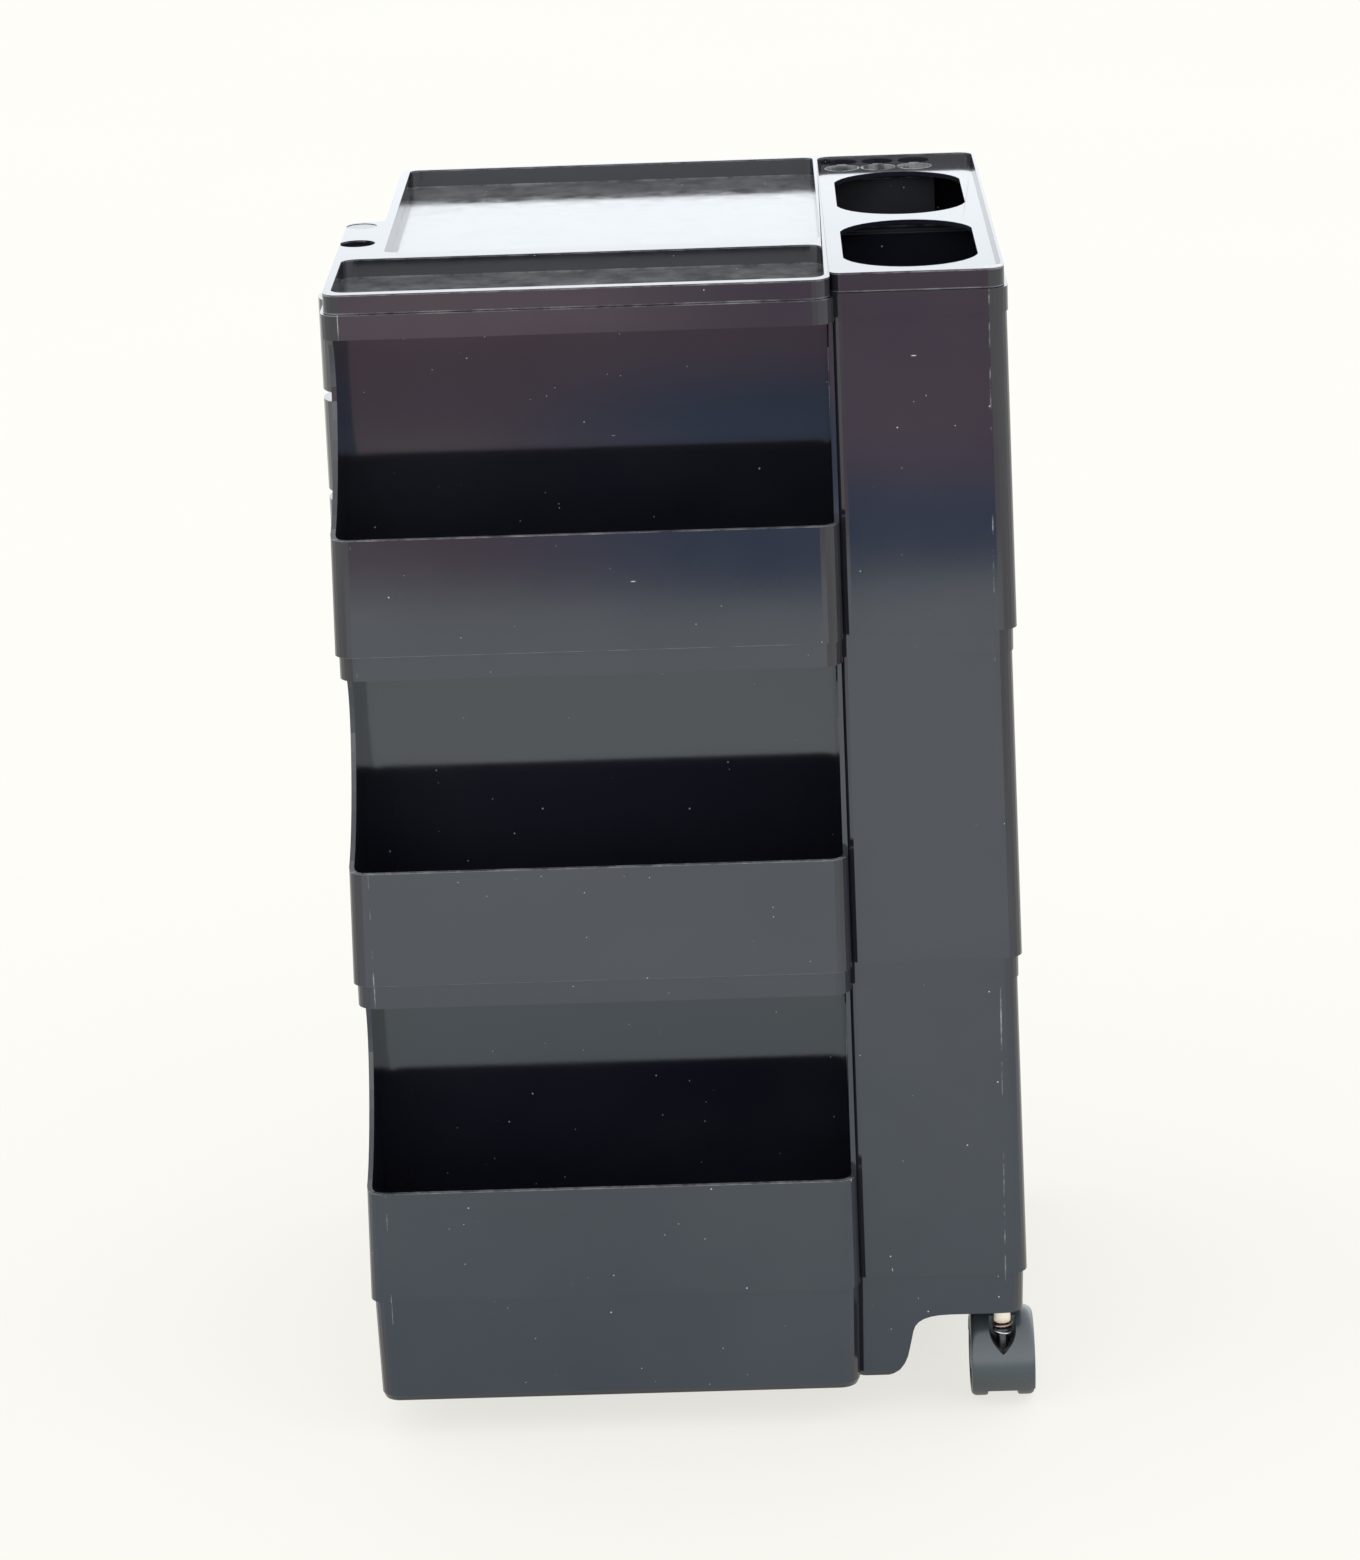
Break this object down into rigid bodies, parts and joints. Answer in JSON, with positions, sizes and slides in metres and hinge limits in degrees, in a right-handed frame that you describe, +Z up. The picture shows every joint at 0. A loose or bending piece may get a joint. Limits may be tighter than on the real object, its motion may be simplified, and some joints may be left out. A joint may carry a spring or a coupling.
{
  "type": "rolling storage trolley",
  "caption": "Rolling storage trolley in dark moulded plastic: stacked modules with open front pockets, a shaft column, swivel drawers, a tray top and casters.",
  "frame": {"origin": "middle of the footprint on the floor", "axes": "+Z up, -Y towards the pocket side, +X towards the shaft column"},
  "size_m": [0.4287, 0.4216, 0.735],
  "materials": {
    "shell_plastic": "glossy charcoal moulded plastic with light wear",
    "drawer_plastic": "glossy charcoal moulded plastic",
    "tube_plastic": "semi-gloss extruded tube",
    "plug_plastic": "semi-gloss moulded cap",
    "sleeve_plastic": "cream nylon, aged",
    "caster_plastic": "semi-gloss grey-green plastic",
    "wheel_plastic": "hard dark plastic tread, worn",
    "caster_steel": "plated steel"
  },
  "bodies": {
    "trolley": {"base_shell": "shell_plastic", "module_1_shell": "shell_plastic", "module_2_shell": "shell_plastic", "module_3_shell": "shell_plastic", "top_cover": "shell_plastic", "pivot_tube": "tube_plastic", "lug_plug": "plug_plastic", "caster_sleeve_front_right": "sleeve_plastic", "caster_sleeve_back_right": "sleeve_plastic", "caster_sleeve_front_left": "sleeve_plastic", "caster_sleeve_back_left": "sleeve_plastic"},
    "drawer_1": {"drawer_1": "drawer_plastic"},
    "drawer_2": {"drawer_2": "drawer_plastic"},
    "drawer_3": {"drawer_3": "drawer_plastic"},
    "caster_front_right": {"caster_stem_front_right": "caster_steel", "caster_hood_front_right": "caster_plastic", "caster_axle_front_right": "caster_steel"},
    "wheel_front_right_left": {"wheel_front_right_left": "wheel_plastic"},
    "wheel_front_right_right": {"wheel_front_right_right": "wheel_plastic"},
    "caster_back_right": {"caster_stem_back_right": "caster_steel", "caster_hood_back_right": "caster_plastic", "caster_axle_back_right": "caster_steel"},
    "wheel_back_right_left": {"wheel_back_right_left": "wheel_plastic"},
    "wheel_back_right_right": {"wheel_back_right_right": "wheel_plastic"},
    "caster_front_left": {"caster_stem_front_left": "caster_steel", "caster_hood_front_left": "caster_plastic", "caster_axle_front_left": "caster_steel"},
    "wheel_front_left_left": {"wheel_front_left_left": "wheel_plastic"},
    "wheel_front_left_right": {"wheel_front_left_right": "wheel_plastic"},
    "caster_back_left": {"caster_stem_back_left": "caster_steel", "caster_hood_back_left": "caster_plastic", "caster_axle_back_left": "caster_steel"},
    "wheel_back_left_left": {"wheel_back_left_left": "wheel_plastic"},
    "wheel_back_left_right": {"wheel_back_left_right": "wheel_plastic"}
  },
  "joints": [
    {"name": "drawer_1_swing", "type": "hinge", "parent": "trolley", "child": "drawer_1", "pos_m": [-0.189, -0.048, 0.517], "axis": [0, 0, 1], "range_deg": [0, 120]},
    {"name": "drawer_2_swing", "type": "hinge", "parent": "trolley", "child": "drawer_2", "pos_m": [-0.189, -0.048, 0.581], "axis": [0, 0, 1], "range_deg": [0, 120]},
    {"name": "drawer_3_swing", "type": "hinge", "parent": "trolley", "child": "drawer_3", "pos_m": [-0.189, -0.048, 0.645], "axis": [0, 0, 1], "range_deg": [0, 120]},
    {"name": "caster_front_right_swivel", "type": "hinge", "parent": "trolley", "child": "caster_front_right", "pos_m": [0.1935, -0.179, 0.055], "axis": [0, 0, 1], "continuous": true},
    {"name": "wheel_front_right_left_spin", "type": "hinge", "parent": "caster_front_right", "child": "wheel_front_right_left", "pos_m": [0.1935, -0.163, 0.025], "axis": [1, 0, 0], "continuous": true},
    {"name": "wheel_front_right_right_spin", "type": "hinge", "parent": "caster_front_right", "child": "wheel_front_right_right", "pos_m": [0.1935, -0.163, 0.025], "axis": [1, 0, 0], "continuous": true},
    {"name": "caster_back_right_swivel", "type": "hinge", "parent": "trolley", "child": "caster_back_right", "pos_m": [0.1935, 0.184, 0.055], "axis": [0, 0, 1], "continuous": true},
    {"name": "wheel_back_right_left_spin", "type": "hinge", "parent": "caster_back_right", "child": "wheel_back_right_left", "pos_m": [0.1935, 0.168, 0.025], "axis": [1, 0, 0], "continuous": true},
    {"name": "wheel_back_right_right_spin", "type": "hinge", "parent": "caster_back_right", "child": "wheel_back_right_right", "pos_m": [0.1935, 0.168, 0.025], "axis": [1, 0, 0], "continuous": true},
    {"name": "caster_front_left_swivel", "type": "hinge", "parent": "trolley", "child": "caster_front_left", "pos_m": [-0.144, -0.13, 0.055], "axis": [0, 0, 1], "continuous": true},
    {"name": "wheel_front_left_left_spin", "type": "hinge", "parent": "caster_front_left", "child": "wheel_front_left_left", "pos_m": [-0.144, -0.114, 0.025], "axis": [1, 0, 0], "continuous": true},
    {"name": "wheel_front_left_right_spin", "type": "hinge", "parent": "caster_front_left", "child": "wheel_front_left_right", "pos_m": [-0.144, -0.114, 0.025], "axis": [1, 0, 0], "continuous": true},
    {"name": "caster_back_left_swivel", "type": "hinge", "parent": "trolley", "child": "caster_back_left", "pos_m": [-0.122, 0.15, 0.055], "axis": [0, 0, 1], "continuous": true},
    {"name": "wheel_back_left_left_spin", "type": "hinge", "parent": "caster_back_left", "child": "wheel_back_left_left", "pos_m": [-0.122, 0.134, 0.025], "axis": [1, 0, 0], "continuous": true},
    {"name": "wheel_back_left_right_spin", "type": "hinge", "parent": "caster_back_left", "child": "wheel_back_left_right", "pos_m": [-0.122, 0.134, 0.025], "axis": [1, 0, 0], "continuous": true}
  ]
}
